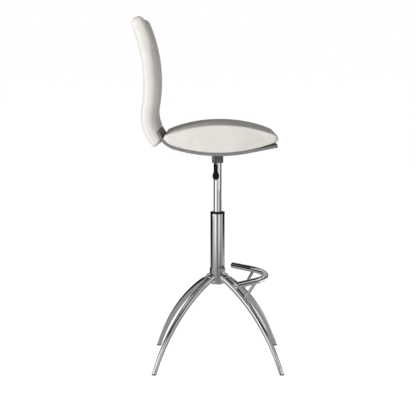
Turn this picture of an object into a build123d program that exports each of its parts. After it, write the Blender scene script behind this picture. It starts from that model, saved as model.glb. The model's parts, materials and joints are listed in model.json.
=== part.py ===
"""Adjustable swivel stool: a padded seat and back on a gas lift, carried by four curved tube legs.

Millimetres. The origin is on the floor under the swivel axis, +Z is up and +X is where the sitter faces.
"""
import os
from math import asin, atan2, cos, degrees, radians, sin, sqrt

from build123d import *

os.makedirs("parts", exist_ok=True)

# Fits
fixed_gap = 0.05      # radial room of a pressed or welded joint
running_gap = 0.06    # radial room of a shaft that turns or slides
loose_gap = 0.3       # room between pieces that only pass or rest on each other
screw_gap = 0.2       # radial room of a screw in its hole

# Legs and their glides
foot_reach = 306.5
leg_bend = 600.0
leg_foot_angle = 67.0
leg_foot_d = 15.0
leg_hub_d = 25.0
leg_wall = 1.6
leg_overrun = 1.0      # degrees of arc drawn below the floor before the foot is cut level
leg_turns = {"front_left": 45, "rear_left": 135, "rear_right": 225, "front_right": 315}
glide_h = 4.0
glide_d = 16.0
glide_edge = 1.4
glide_stem = 14.0
collar_reach = 37.5
collar_w = 5.0
collar_wall = 2.2

# Hub and outer column
column_od = 50.0
column_wall = 2.0
column_top = 525.0
hub_wall = 2.9
hub_bottom = 282.0
hub_top = 334.0
hub_edge = 1.5
cap_bottom = 275.0
cap_wall = 2.5
cap_grip = 3.0
cap_edge = 1.5

# Turning bearing at the foot of the piston rod
end_plate_z = 288.0
end_plate_t = 4.0
race_od = 24.0
race_t = 2.0
ball_d = 4.0
ball_pcd = 16.0
ball_count = 8
ball_play = 0.05
cage_t = 1.6
cage_rim = 1.2
rod_d = 10.0
rod_neck_d = 8.0
rod_tail = 3.0
clip_t = 1.2
clip_od = 14.0
clip_groove = 0.5
washer_od = 18.0
washer_t = 2.0
buffer_h = 12.0

# Gas lift
cylinder_od = 28.0
cylinder_wall = 2.0
cylinder_bottom = 452.0
cylinder_top = 731.0
taper_drop = 0.7
bush_flange_h = 6.3
bush_flange_over = 0.8
bush_depth = 60.0
bush_edge = 1.2
guide_lip = 2.0
guide_h = 21.0
seal_h = 5.0
pressure_od = 21.0
pressure_wall = 1.0
lift_up = 15.0
top_room = 1.0         # left between seal and piston when the seat is at its highest
piston_h = 12.0
piston_seat_h = 4.0
seal_ring_w = 3.0
seal_ring_depth = 1.5
valve_h = 31.0
valve_spigot = 5.0
button_d = 6.0
button_len = 27.0
button_rise = 4.0

# Socket and plate under the seat
socket_od = 40.0
socket_bottom = 704.0
socket_edge = 1.0
plate_z = 740.2
plate_t = 4.0
plate_x = 84.0
plate_y = 150.0
plate_corner = 10.0
plate_screw_x = 60.0
plate_screw_y = 120.0
screw_d = 6.0
screw_head_d = 11.0
screw_head_h = 3.6

# Release lever on the sitter's right
lever_x = -7.0
lever_pivot_y = -14.5
lever_droop = 28.0
lever_d = 7.0
lever_pivot_drop = 0.3  # of the pivot below the paddle's middle
lever_pin_d = 3.0
lever_pin_over = 2.4
lever_slot = 8.0
paddle_t = 3.0
paddle_x = (-10.0, 3.5)
paddle_y = (-9.0, 3.5)
grip_start = 78.0
grip_len = 77.0
grip_neck_d = 12.8
grip_bulb_d = 23.0
grip_bulb_at = 59.0
grip_end_d = 12.0
grip_bore = 48.0

# Moulded seat pan with its turned-up rear lip
seat_width = 400.0
pan_t = 9.0
pan_low_x = 3.0
pan_low_z = 742.6
pan_bend = 524.5
pan_front_angle = 11.0
pan_front_run = 98.0
pan_rear_angle = 16.2
lip_bend = 90.0
lip_angle = 68.0
pan_corner = 16.0
lip_inset = 14.0      # of the lip's sides from the pan's, so that the pad covers them
lip_inset_lean = 45.5

# Seat cushion and its board
cushion_rear = -183.0
cushion_front = 202.5
cushion_top = 847.0
cushion_crown = 515.0
cushion_tip = 8.3
cushion_corner = 18.0
seat_board_t = 8.0
seat_board_angle = 16.0
seat_board_inset = 22.0
nut_flange_d = 18.0
nut_flange_t = 1.5
nut_barrel_d = 8.0

# Back pad, its board and its screws
back_t = 48.0
back_lean_at_lip = 63.4
back_low_lean = 46.0
back_lumbar_lean = 100.0
back_top_lean = 64.0
back_low_bend = 134.0
back_high_bend = 500.0
back_end_round = 21.0
back_foot_round = 12.0
back_side_round = 18.0
back_board_t = 8.0
back_board_low = 52.0
back_board_bend = 1300.0
back_board_rise = 12.5
back_board_inset = 34.0
back_screw_lean = 60.0
back_screw_y = 60.0
back_screw_edge = 16.0  # of the outer two, from the board's ends
back_screw_d = 4.5
back_screw_head_d = 9.0
back_screw_len = 15.0

# Footrest
bar_d = 22.0
bar_wall = 1.5
bar_z = 305.6
bar_end_x = 60.0
bar_end_y = 203.0
bar_vertex_x = 227.0
bar_bend = 198.0
bar_cap_h = 6.0
bar_cap_round = 5.0
bar_cap_stem = 10.0
strut_d = 11.5
strut_reach = 129.0
strut_top_y = 112.0


def save(piece, name):
    """Label a finished piece and write it to its own file."""
    piece.part.label = name
    export_step(piece.part, f"parts/{name}.step")


def turned(outline):
    """Turn a closed outline of (radius, height) points about the column's axis."""
    with BuildPart() as piece:
        with BuildSketch(Plane.XZ):
            with BuildLine():
                Polyline(*outline, close=True)
            make_face()
        revolve(axis=Axis.Z)
    return piece


def ring(inner_r, outer_r, low, high):
    """A plain ring about the column's axis."""
    return turned([(inner_r, low), (outer_r, low), (outer_r, high), (inner_r, high)])


# The legs' arc: its centre in the leg's plane, and the angles of its two ends
leg_centre_r = foot_reach - leg_bend * sin(radians(leg_foot_angle))
leg_centre_z = -leg_bend * cos(radians(leg_foot_angle))
leg_low_angle = 90 - leg_foot_angle - leg_overrun
hub_od = column_od + 2 * hub_wall
leg_high_angle = 90 - degrees(asin((column_od / 2 - leg_centre_r) / leg_bend))


def leg_height(reach):
    """Height of a leg's centre line at a distance from the swivel axis."""
    return leg_centre_z + sqrt(leg_bend**2 - (reach - leg_centre_r) ** 2)


def leg_point(turn, reach):
    """Point of a leg's centre line at a distance from the swivel axis."""
    return Vector(reach * cos(radians(turn)), reach * sin(radians(turn)), leg_height(reach))


def leg_arc(turn):
    """Centre line of a leg, from below the floor up into the hub."""
    outward = Vector(cos(radians(turn)), sin(radians(turn)), 0)
    upright = Plane(origin=(0, 0, 0), x_dir=outward, z_dir=outward.cross(Vector(0, 0, 1)))
    with BuildLine(upright) as path:
        CenterArc((leg_centre_r, leg_centre_z), leg_bend, leg_low_angle, leg_high_angle - leg_low_angle)
    return path.edge()


def leg_core(turn, inset):
    """Solid tapered leg about its arc, with its skin moved in by an inset."""
    arc = leg_arc(turn)
    with BuildPart() as core:
        with BuildSketch(Plane(origin=arc @ 0, z_dir=arc % 0)):
            Circle(leg_foot_d / 2 - inset)
        with BuildSketch(Plane(origin=arc @ 1, z_dir=arc % 1)):
            Circle(leg_hub_d / 2 - inset)
        sweep(path=arc, multisection=True)
    return core.part


leg_skins = {turn: leg_core(turn, 0) for turn in leg_turns.values()}

# Legs: tapered tubes, coped to the hub and cut level above the glides
for side, turn in leg_turns.items():
    leg_hollow = leg_core(turn, leg_wall)
    with BuildPart() as leg:
        add(leg_skins[turn])
        add(leg_hollow, mode=Mode.SUBTRACT)
        with BuildSketch(Plane.XY.offset(cap_bottom)):
            Circle(hub_od / 2)
        extrude(amount=hub_top - cap_bottom, mode=Mode.SUBTRACT)
        split(bisect_by=Plane.XY.offset(glide_h), keep=Keep.TOP)
    save(leg, f"leg_{side}")

# Glides: a round pad under each leg with a stem up inside the tube
stem_r = leg_foot_d / 2 - leg_wall - 2 * loose_gap
for side, turn in leg_turns.items():
    foot = leg_point(turn, foot_reach)
    inward = Vector(cos(radians(turn)), sin(radians(turn)), 0) * -cos(radians(leg_foot_angle))
    stem_axis = inward + Vector(0, 0, sin(radians(leg_foot_angle)))
    with BuildPart() as glide:
        with BuildSketch(Plane(origin=(foot.X, foot.Y, 0))):
            Circle(glide_d / 2)
        extrude(amount=glide_h)
        fillet(glide.edges().group_by(Axis.Z)[0], glide_edge)
        with BuildSketch(Plane(origin=foot, z_dir=stem_axis)):
            Circle(stem_r)
        extrude(amount=glide_stem)
        split(bisect_by=Plane.XY, keep=Keep.TOP)
    save(glide, f"glide_{side}")

# Collars: a raised ring on each leg just outside the hub
collar_bores = [leg_core(turn, -fixed_gap) for turn in leg_turns.values()]
with BuildPart() as leg_collars:
    for turn in leg_turns.values():
        centre = leg_point(turn, collar_reach)
        outward = Vector(cos(radians(turn)), sin(radians(turn)), 0)
        bend_centre = outward * leg_centre_r + Vector(0, 0, leg_centre_z)
        across = Vector(0, 0, 1).cross(outward)
        with BuildSketch(Plane(origin=centre, z_dir=(centre - bend_centre).cross(across))):
            Circle(leg_hub_d / 2 + collar_wall)
        extrude(amount=collar_w / 2, both=True)
    for bore in collar_bores:
        add(bore, mode=Mode.SUBTRACT)
save(leg_collars, "leg_collars")

# Hub sleeve round the foot of the column
column_r = column_od / 2
with BuildPart() as hub_sleeve:
    add(ring(column_r + fixed_gap, hub_od / 2, hub_bottom, hub_top).part)
    chamfer(hub_sleeve.edges().group_by(Axis.Z)[-1].sort_by(SortBy.RADIUS)[-1], hub_edge)
save(hub_sleeve, "hub_sleeve")

# Outer column, its closing cap and the plate that carries the bearing
bore_r = column_r - column_wall
save(ring(bore_r, column_r, hub_bottom, column_top), "column_tube")

cap_r = bore_r - fixed_gap
cap_top = hub_bottom + cap_grip
with BuildPart() as hub_cap:
    add(ring(0, cap_r, cap_bottom, cap_top).part)
    fillet(hub_cap.edges().group_by(Axis.Z)[0], cap_edge)
    with BuildSketch(Plane.XY.offset(cap_bottom + cap_wall)):
        Circle(cap_r - cap_wall)
    extrude(amount=cap_top - cap_bottom, mode=Mode.SUBTRACT)
save(hub_cap, "hub_cap")

neck_r = rod_neck_d / 2
race_low = end_plate_z + end_plate_t
save(ring(neck_r + running_gap, bore_r - fixed_gap, end_plate_z, race_low), "column_end_plate")

# Thrust bearing: two races with caged balls between them
ball_mid = race_low + race_t + ball_d / 2
upper_race_z = race_low + race_t + ball_d
rod_shoulder = upper_race_z + race_t
save(ring(neck_r + loose_gap, race_od / 2, race_low, race_low + race_t), "lower_race")
save(ring(neck_r + fixed_gap, race_od / 2, upper_race_z, rod_shoulder), "upper_race")

ball_r = ball_d / 2 - ball_play
cage_reach = ball_d / 2 + cage_rim
with BuildPart() as ball_cage:
    cage_low = ball_mid - cage_t / 2
    add(ring(ball_pcd / 2 - cage_reach, ball_pcd / 2 + cage_reach, cage_low, cage_low + cage_t).part)
    with BuildSketch(Plane.XY.offset(cage_low)):
        with PolarLocations(ball_pcd / 2, ball_count):
            Circle(ball_d / 2)
    extrude(amount=cage_t, mode=Mode.SUBTRACT)
save(ball_cage, "ball_cage")

with BuildPart(Plane.XY.offset(ball_mid)) as bearing_balls:
    with PolarLocations(ball_pcd / 2, ball_count):
        Sphere(ball_r)
save(bearing_balls, "bearing_balls")

# Piston rod: a neck through the bearing, a shoulder on the upper race, a tenon in the piston
washer_top = end_plate_z - loose_gap
clip_top = washer_top - washer_t
groove_low = clip_top - clip_t
rod_low = groove_low - rod_tail
groove_r = neck_r - clip_groove
piston_low = cylinder_bottom + guide_lip + guide_h + seal_h + lift_up + top_room
piston_top = piston_low + piston_h
tenon_low = piston_low + piston_seat_h
rod_outline = [
    (0, rod_low),
    (neck_r, rod_low),
    (neck_r, groove_low),
    (groove_r, groove_low),
    (groove_r, clip_top),
    (neck_r, clip_top),
    (neck_r, rod_shoulder),
    (rod_d / 2, rod_shoulder),
    (rod_d / 2, tenon_low),
    (neck_r, tenon_low),
    (neck_r, piston_top),
    (0, piston_top),
]
save(turned(rod_outline), "piston_rod")
save(ring(neck_r + fixed_gap, washer_od / 2, clip_top, washer_top), "clip_washer")

with BuildPart() as retaining_clip:
    add(ring(groove_r + fixed_gap, clip_od / 2, groove_low, clip_top).part)
    with BuildSketch(Plane.XY.offset(groove_low)):
        with Locations((clip_od / 2, 0)):
            Rectangle(clip_od, 2 * groove_r - clip_groove)
    extrude(amount=clip_t, mode=Mode.SUBTRACT)
save(retaining_clip, "retaining_clip")
save(ring(rod_d / 2 + fixed_gap, race_od / 2, rod_shoulder, rod_shoulder + buffer_h), "buffer_ring")

# Piston with a sealing ring in its groove
pressure_r = pressure_od / 2 - pressure_wall
piston_r = pressure_r - running_gap
ring_r = piston_r - seal_ring_depth
ring_low = piston_low + (piston_h - seal_ring_w) / 2
piston_outline = [
    (rod_d / 2 + fixed_gap, piston_low),
    (piston_r, piston_low),
    (piston_r, ring_low),
    (ring_r, ring_low),
    (ring_r, ring_low + seal_ring_w),
    (piston_r, ring_low + seal_ring_w),
    (piston_r, piston_top),
    (neck_r + fixed_gap, piston_top),
    (neck_r + fixed_gap, tenon_low),
    (rod_d / 2 + fixed_gap, tenon_low),
]
save(turned(piston_outline), "piston")
ring_high = ring_low + seal_ring_w
save(ring(ring_r + fixed_gap, piston_r, ring_low + fixed_gap, ring_high - fixed_gap), "piston_ring")

# Lift cylinder with its tapered top end, and what it holds
cylinder_r = cylinder_od / 2
cylinder_bore = cylinder_r - cylinder_wall
fill_r = cylinder_bore - fixed_gap
cylinder_outline = [
    (cylinder_bore, cylinder_bottom),
    (cylinder_r, cylinder_bottom),
    (cylinder_r, socket_bottom),
    (cylinder_r - taper_drop, cylinder_top),
    (cylinder_bore, cylinder_top),
]
save(turned(cylinder_outline), "lift_cylinder")

guide_low = cylinder_bottom + guide_lip
guide_top = guide_low + guide_h
rod_run = rod_d / 2 + running_gap
save(ring(rod_run, fill_r, guide_low, guide_top), "rod_guide")
save(ring(rod_run, fill_r, guide_top, guide_top + seal_h), "rod_seal")
valve_low = cylinder_top - valve_h
save(ring(pressure_r, pressure_od / 2, guide_top + seal_h, valve_low), "pressure_tube")

button_r = button_d / 2
valve_outline = [
    (button_r + running_gap, valve_low - valve_spigot),
    (pressure_r - fixed_gap, valve_low - valve_spigot),
    (pressure_r - fixed_gap, valve_low),
    (fill_r, valve_low),
    (fill_r, cylinder_top),
    (button_r + running_gap, cylinder_top),
]
save(turned(valve_outline), "valve_body")

button_top = cylinder_top + button_rise
with BuildPart() as valve_button:
    add(ring(0, button_r, button_top - button_len, button_top).part)
    fillet(valve_button.edges().group_by(Axis.Z)[-1], button_r / 3)
save(valve_button, "valve_button")

# Guide bush in the mouth of the outer column
bush_top = column_top + bush_flange_h
bush_bore = cylinder_r + running_gap
bush_outline = [
    (bush_bore, column_top - bush_depth),
    (bore_r - fixed_gap, column_top - bush_depth),
    (bore_r - fixed_gap, column_top),
    (column_r + bush_flange_over, column_top),
    (column_r + bush_flange_over, bush_top),
    (bush_bore, bush_top),
]
with BuildPart() as guide_bush:
    add(turned(bush_outline).part)
    fillet(guide_bush.edges().group_by(Axis.Z)[-1].sort_by(SortBy.RADIUS)[-1], bush_edge)
save(guide_bush, "guide_bush")

# Lever heights follow from the button that its paddle presses
paddle_low = button_top + loose_gap
pivot_z = paddle_low + paddle_t / 2 - lever_pivot_drop
pivot = Vector(lever_x, lever_pivot_y, pivot_z)
lever_aim = Vector(0, -cos(radians(lever_droop)), -sin(radians(lever_droop)))

# Socket: a tapered bore below, a chamber for the lever's paddle above, a slot for its arm
socket_r = socket_od / 2
chamber_r = cylinder_r
socket_outline = [
    (cylinder_r + fixed_gap, socket_bottom),
    (socket_r, socket_bottom),
    (socket_r, plate_z),
    (chamber_r, plate_z),
    (chamber_r, cylinder_top),
    (cylinder_r - taper_drop + fixed_gap, cylinder_top),
]
slot_low = pivot_z - lever_d
pin_half = lever_slot / 2 + lever_pin_over
with BuildPart() as seat_socket:
    add(turned(socket_outline).part)
    fillet(seat_socket.edges().group_by(Axis.Z)[0].sort_by(SortBy.RADIUS)[-1], socket_edge)
    with BuildSketch(Plane.XY.offset(slot_low)):
        with Locations((lever_x, -socket_r)):
            Rectangle(lever_slot, 2 * (socket_r - chamber_r / 2))
    extrude(amount=plate_z - slot_low, mode=Mode.SUBTRACT)
    with BuildSketch(Plane(origin=(lever_x - pin_half, lever_pivot_y, pivot_z), z_dir=(1, 0, 0))):
        Circle(lever_pin_d / 2 + fixed_gap)
    extrude(amount=2 * pin_half, mode=Mode.SUBTRACT)
save(seat_socket, "seat_socket")

with BuildPart() as lever_pin:
    with BuildSketch(Plane(origin=(lever_x - pin_half, lever_pivot_y, pivot_z), z_dir=(1, 0, 0))):
        Circle(lever_pin_d / 2)
    extrude(amount=2 * pin_half)
save(lever_pin, "lever_pin")

# Lever: a drooping rod, a boss on the pivot pin and a flat paddle over the button
with BuildPart() as lever_rod:
    with BuildSketch(Plane(origin=pivot, z_dir=lever_aim)):
        Circle(lever_d / 2)
    extrude(amount=grip_start + grip_bore)
    with BuildSketch(Plane(origin=pivot, z_dir=(1, 0, 0))):
        Circle(lever_d / 2)
    extrude(amount=lever_d / 2, both=True)
    with BuildSketch(Plane.XY.offset(paddle_low)):
        with Locations((lever_x, (lever_pivot_y + paddle_y[0]) / 2)):
            Rectangle(lever_d, paddle_y[0] - lever_pivot_y)
        with Locations((sum(paddle_x) / 2, sum(paddle_y) / 2)):
            Rectangle(paddle_x[1] - paddle_x[0], paddle_y[1] - paddle_y[0])
    extrude(amount=paddle_t)
    with BuildSketch(Plane(origin=pivot - Vector(lever_d, 0, 0), z_dir=(1, 0, 0))):
        Circle(lever_pin_d / 2 + running_gap)
    extrude(amount=2 * lever_d, mode=Mode.SUBTRACT)
save(lever_rod, "lever_rod")

# Grip: a slim neck that swells to a bulb, pushed over the rod's end
grip_foot = pivot + lever_aim * grip_start
grip_plane = Plane(origin=grip_foot, x_dir=lever_aim, z_dir=(1, 0, 0))
with BuildPart() as lever_grip:
    with BuildSketch(grip_plane):
        with BuildLine():
            neck = Line((0, grip_neck_d / 2), (grip_bulb_at / 2, grip_neck_d / 2))
            bulb = Spline(
                neck @ 1,
                (grip_bulb_at, grip_bulb_d / 2),
                (grip_len, grip_end_d / 2),
                tangents=[(1, 0), (1, -1.4)],
            )
            Polyline(bulb @ 1, (grip_len, 0), (0, 0), neck @ 0)
        make_face()
    revolve(axis=Axis(grip_foot, lever_aim))
    with BuildSketch(Plane(origin=grip_foot, z_dir=lever_aim)):
        Circle(lever_d / 2 + fixed_gap)
    extrude(amount=grip_bore, mode=Mode.SUBTRACT)
save(lever_grip, "lever_grip")

# Mounting plate welded on the socket
plate_top = plate_z + plate_t
with BuildPart() as mounting_plate:
    with BuildSketch(Plane.XY.offset(plate_z)):
        RectangleRounded(plate_x, plate_y, plate_corner)
        with GridLocations(plate_screw_x, plate_screw_y, 2, 2):
            Circle(screw_d / 2 + screw_gap, mode=Mode.SUBTRACT)
    extrude(amount=plate_t)
save(mounting_plate, "mounting_plate")

# Seat pan: one bent board, from its front edge under the seat to the lip behind it
pan_mid_z = pan_low_z + pan_t / 2
pan_centre_z = pan_mid_z + pan_bend
lip_offset = pan_bend - lip_bend
lip_centre_x = pan_low_x - lip_offset * sin(radians(pan_rear_angle))
lip_centre_z = pan_centre_z - lip_offset * cos(radians(pan_rear_angle))


def lip_point(lean, distance):
    """Point at a distance from the lip's centre, where the lip rises at the given lean."""
    return (lip_centre_x - distance * sin(radians(lean)), lip_centre_z - distance * cos(radians(lean)))


def pan_solid(growth):
    """The bent board of the pan, thicker and wider by a growth on each face."""
    with BuildPart() as pan:
        with BuildSketch(Plane.XZ):
            with BuildLine():
                front = JernArc((pan_low_x, pan_mid_z), (1, 0), pan_bend, pan_front_angle)
                Line(front @ 1, front @ 1 + (front % 1) * pan_front_run)
                rear = JernArc((pan_low_x, pan_mid_z), (-1, 0), pan_bend, -pan_rear_angle)
                JernArc(rear @ 1, rear % 1, lip_bend, pan_rear_angle - lip_angle)
            trace(line_width=pan_t + 2 * growth)
        extrude(amount=seat_width / 2 + growth, both=True)
    return pan.part


back_screw_out = Vector(sin(radians(back_screw_lean)), 0, cos(radians(back_screw_lean)))
lip_front_r = lip_bend - pan_t / 2
screw_top_x, screw_top_z = lip_point(back_screw_lean, lip_front_r)
lip_half = seat_width / 2 - lip_inset
back_screw_end_y = seat_width / 2 - back_board_inset - back_screw_edge
back_screw_planes = [
    Plane(origin=(screw_top_x, y, screw_top_z), x_dir=(0, 1, 0), z_dir=back_screw_out)
    for y in (-back_screw_end_y, -back_screw_y, back_screw_y, back_screw_end_y)
]
back_head_h = (back_screw_head_d - back_screw_d) / 2
back_hole_r = back_screw_d / 2 + screw_gap

pan_board = pan_solid(0)
with BuildPart() as seat_pan:
    add(pan_board)
    front_edges = seat_pan.edges().filter_by(Axis.Y, reverse=True).group_by(Axis.X)[-1]
    fillet(front_edges.filter_by(GeomType.LINE), pan_corner)
    with BuildSketch(Plane.XY.offset(pan_low_z - pan_t)):
        Rectangle(plate_x + 2 * loose_gap, plate_y + 2 * loose_gap)
    extrude(amount=plate_top - pan_low_z + pan_t, mode=Mode.SUBTRACT)
    with BuildSketch(Plane.XY.offset(pan_low_z)):
        with GridLocations(plate_screw_x, plate_screw_y, 2, 2):
            Circle(screw_d / 2 + screw_gap)
    extrude(amount=2 * pan_t, mode=Mode.SUBTRACT)
    for side in (-1, 1):
        with BuildSketch(Plane.XZ.offset(-side * lip_half)):
            with BuildLine():
                Polyline(
                    (lip_centre_x, lip_centre_z),
                    lip_point(lip_inset_lean, 2 * lip_bend),
                    lip_point(90, 2 * lip_bend),
                    close=True,
                )
            make_face()
        extrude(amount=-side * 2 * lip_inset, mode=Mode.SUBTRACT)
    for plane in back_screw_planes:
        with Locations(plane.location):
            CounterSinkHole(back_hole_r, back_screw_head_d / 2 + screw_gap, depth=2 * pan_t)
save(seat_pan, "seat_pan")

# Board under the seat cushion, curved like the pan that it lies on
under_r = pan_bend - pan_t / 2 - loose_gap


def seat_board_solid(growth):
    """The curved board under the cushion, grown on each face."""
    with BuildPart() as board:
        with BuildSketch(Plane.XZ):
            with BuildLine():
                CenterArc(
                    (pan_low_x, pan_centre_z),
                    under_r - seat_board_t / 2,
                    270 - seat_board_angle,
                    2 * seat_board_angle,
                )
            trace(line_width=seat_board_t + 2 * growth)
        extrude(amount=seat_width / 2 - seat_board_inset + growth, both=True)
    return board.part


seat_board_core = seat_board_solid(0)
board_top_z = pan_centre_z - under_r + seat_board_t
nut_seat_z = board_top_z - nut_flange_t
nut_reach = plate_screw_x / 2 + abs(pan_low_x) + nut_barrel_d / 2
nut_low_z = pan_centre_z - sqrt((pan_bend - pan_t / 2) ** 2 - nut_reach**2) + loose_gap
with BuildPart() as seat_board:
    add(seat_board_core)
    with GridLocations(plate_screw_x, plate_screw_y, 2, 2):
        with Locations((0, 0, nut_seat_z)):
            Cylinder(
                nut_flange_d / 2 + screw_gap,
                seat_board_t,
                align=(Align.CENTER, Align.CENTER, Align.MIN),
                mode=Mode.SUBTRACT,
            )
            Cylinder(nut_barrel_d / 2 + fixed_gap, 2 * seat_board_t, mode=Mode.SUBTRACT)
save(seat_board, "seat_board")

# Tee nuts let into the board, and the screws that hold plate, pan and board together
with BuildPart() as tee_nuts:
    with BuildSketch(Plane.XY.offset(nut_low_z)):
        with GridLocations(plate_screw_x, plate_screw_y, 2, 2):
            Circle(nut_barrel_d / 2)
    extrude(amount=nut_seat_z - nut_low_z)
    with BuildSketch(Plane.XY.offset(nut_seat_z)):
        with GridLocations(plate_screw_x, plate_screw_y, 2, 2):
            Circle(nut_flange_d / 2)
    extrude(amount=nut_flange_t)
    with BuildSketch(Plane.XY.offset(nut_low_z)):
        with GridLocations(plate_screw_x, plate_screw_y, 2, 2):
            Circle(screw_d / 2 + fixed_gap)
    extrude(amount=seat_board_t, mode=Mode.SUBTRACT)
save(tee_nuts, "tee_nuts")

with BuildPart() as plate_screws:
    with BuildSketch(Plane.XY.offset(plate_z)):
        with GridLocations(plate_screw_x, plate_screw_y, 2, 2):
            Circle(screw_head_d / 2)
    extrude(amount=-screw_head_h)
    fillet(plate_screws.edges().group_by(Axis.Z)[0], screw_head_h / 2)
    with BuildSketch(Plane.XY.offset(plate_z)):
        with GridLocations(plate_screw_x, plate_screw_y, 2, 2):
            Circle(screw_d / 2)
    extrude(amount=nut_seat_z - plate_z)
    with BuildSketch(Plane.XY.offset(plate_z - screw_head_h)):
        with GridLocations(plate_screw_x, plate_screw_y, 2, 2):
            RegularPolygon(screw_d / 3, 6)
    extrude(amount=screw_head_h / 2, mode=Mode.SUBTRACT)
save(plate_screws, "plate_screws")

# Seat cushion: a lens between the pan and its crowned top, cleared for the board and the lip
cushion_mid_x = (cushion_rear + cushion_front) / 2
cushion_half = (cushion_front - cushion_rear) / 2
cushion_end_top = cushion_top - cushion_crown + sqrt(cushion_crown**2 - cushion_half**2)
cushion_end_low = pan_centre_z - sqrt(under_r**2 - (cushion_front - pan_low_x) ** 2)
cushion_tip_r = min(cushion_tip, 0.47 * (cushion_end_top - cushion_end_low))
pan_room = pan_solid(loose_gap)
seat_board_room = seat_board_solid(loose_gap)
with BuildPart() as seat_cushion:
    with BuildSketch(Plane.XZ) as lens:
        with Locations((pan_low_x, pan_centre_z)):
            Circle(under_r)
        with Locations((cushion_mid_x, cushion_top - cushion_crown)):
            Circle(cushion_crown, mode=Mode.INTERSECT)
        with Locations((cushion_mid_x, cushion_top)):
            Rectangle(cushion_front - cushion_rear, cushion_crown, mode=Mode.INTERSECT)
        fillet(lens.vertices(), cushion_tip_r)
    extrude(amount=seat_width / 2, both=True)
    with BuildSketch(Plane.XY.offset(pan_low_z)):
        with Locations((cushion_mid_x, 0)):
            RectangleRounded(cushion_front - cushion_rear, seat_width, cushion_corner)
    extrude(amount=cushion_top - pan_low_z, mode=Mode.INTERSECT)
    add(pan_room, mode=Mode.SUBTRACT)
    add(seat_board_room, mode=Mode.SUBTRACT)
save(seat_cushion, "seat_cushion")

# Board inside the back pad: it lies on the back of the lip and leans away above it
back_board_r = lip_bend + pan_t / 2 + loose_gap + back_board_t / 2
back_board_foot = lip_point(back_board_low, back_board_r)


def heading(lean):
    """Direction up the back in the side view, at a lean measured from the rear horizontal."""
    return (-cos(radians(lean)), sin(radians(lean)))


def back_board_solid(growth):
    """The curved board inside the back pad, grown on each face."""
    with BuildPart() as board:
        with BuildSketch(Plane.XZ):
            with BuildLine():
                low = JernArc(back_board_foot, heading(back_board_low), back_board_r, back_board_low - 90)
                JernArc(low @ 1, low % 1, back_board_bend, back_board_rise)
            trace(line_width=back_board_t + 2 * growth)
        extrude(amount=seat_width / 2 - back_board_inset + growth, both=True)
    return board.part


back_board_core = back_board_solid(0)
with BuildPart() as back_board:
    add(back_board_core)
    for plane in back_screw_planes:
        with BuildSketch(plane):
            Circle(back_screw_d / 2 + fixed_gap)
        extrude(amount=-2 * (pan_t + back_board_t), mode=Mode.SUBTRACT)
save(back_board, "back_board")

with BuildPart() as back_screws:
    for plane in back_screw_planes:
        with BuildSketch(plane):
            Circle(back_screw_d / 2)
        extrude(amount=-back_screw_len)
        with BuildSketch(plane):
            Circle(back_screw_head_d / 2)
        with BuildSketch(plane.offset(-back_head_h)):
            Circle(back_screw_d / 2)
        loft()
        with BuildSketch(plane):
            RegularPolygon(back_screw_d / 4, 6)
        extrude(amount=-back_head_h / 2, mode=Mode.SUBTRACT)
save(back_screws, "back_screws")

# Back pad: one soft bolster, straight across, let over the lip and the board
back_set = pan_t / 2 - back_t / 2
lip_end_room = degrees(loose_gap / lip_bend)
back_start = lip_point(lip_angle, lip_bend - back_set)
back_board_room = back_board_solid(loose_gap)
with BuildPart() as back_cushion:
    with BuildSketch(Plane.XZ) as back_profile:
        with BuildLine():
            JernArc(
                back_start,
                tuple(-part for part in heading(back_lean_at_lip)),
                back_low_bend,
                back_lean_at_lip - back_low_lean,
            )
            lumbar = JernArc(
                back_start, heading(back_lean_at_lip), back_low_bend, back_lean_at_lip - back_lumbar_lean
            )
            JernArc(lumbar @ 1, lumbar % 1, back_high_bend, back_lumbar_lean - back_top_lean)
        trace(line_width=back_t)
        fillet(back_profile.vertices().sort_by(Axis.Y)[:2], back_foot_round)
        fillet(back_profile.vertices().sort_by(Axis.Y)[-2:], back_end_round)
    extrude(amount=seat_width / 2, both=True)
    sides = back_cushion.faces().filter_by(Axis.Y)
    fillet(sides.edges(), back_side_round)
    with BuildSketch(Plane.XZ):
        with BuildLine():
            lip_back = CenterArc(
                (lip_centre_x, lip_centre_z),
                lip_bend + pan_t / 2 + loose_gap,
                270 - lip_angle - lip_end_room,
                lip_angle + lip_end_room,
            )
            Polyline(lip_back @ 1, (lip_centre_x, lip_centre_z), lip_back @ 0)
        make_face()
    extrude(amount=lip_half + loose_gap, both=True, mode=Mode.SUBTRACT)
    add(back_board_room, mode=Mode.SUBTRACT)
save(back_cushion, "back_cushion")

# Footrest: a bent tube in a wide bow, with domed caps, on two struts from the front legs
bar_plane = Plane.XY.offset(bar_z)


def bar_path():
    """Centre line of the footrest tube."""
    with BuildLine(bar_plane) as path:
        FilletPolyline(
            (bar_end_x, -bar_end_y), (bar_vertex_x, 0), (bar_end_x, bar_end_y), radius=bar_bend
        )
    return path.wire()


def bar_core(radius):
    """Solid round bar along the footrest's centre line."""
    line = bar_path()
    with BuildPart() as core:
        with BuildSketch(Plane(origin=line @ 0, z_dir=line % 0)):
            Circle(radius)
        sweep(path=line)
    return core.part


bar_skin = bar_core(bar_d / 2)
bar_hollow = bar_core(bar_d / 2 - bar_wall)
with BuildPart() as footrest_bar:
    add(bar_skin)
    add(bar_hollow, mode=Mode.SUBTRACT)
save(footrest_bar, "footrest_bar")

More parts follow.
